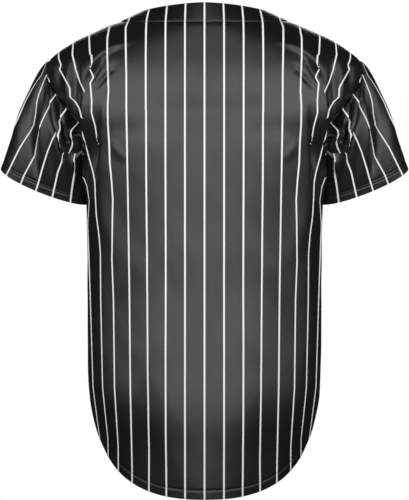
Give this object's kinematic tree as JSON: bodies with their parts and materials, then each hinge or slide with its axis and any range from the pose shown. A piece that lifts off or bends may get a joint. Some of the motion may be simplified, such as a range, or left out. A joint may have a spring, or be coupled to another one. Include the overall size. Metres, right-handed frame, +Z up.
{
  "type": "baseball jersey",
  "caption": "Short-sleeved pinstriped baseball jersey with a banded neck, button front and rounded hem, filled out as worn.",
  "frame": {"origin": "inside the neck, midway between the two points where the shoulder seams meet the neck band, a little above them", "axes": "+Z up; the back faces -Y and the buttoned front +Y; +X is the wearer's right"},
  "size_m": [0.6288, 0.2485, 0.7637],
  "materials": {
    "back_panel": "satin black knit with white pinstripes",
    "front_left": "satin black knit with white pinstripes",
    "front_right": "satin black knit with white pinstripes",
    "sleeve_left": "satin black knit with white pinstripes",
    "sleeve_right": "satin black knit with white pinstripes",
    "neck_band": "satin black knit with white pinstripes",
    "placket": "satin black knit with white pinstripes",
    "button": "black, low gloss"
  },
  "bodies": {
    "root": {"back_panel": "back_panel", "front_left": "front_left", "front_right": "front_right", "sleeve_left": "sleeve_left", "sleeve_right": "sleeve_right", "neck_band": "neck_band", "placket": "placket", "button_1": "button", "button_2": "button", "button_3": "button", "button_4": "button", "button_5": "button", "button_6": "button", "button_7": "button"}
  },
  "joints": []
}
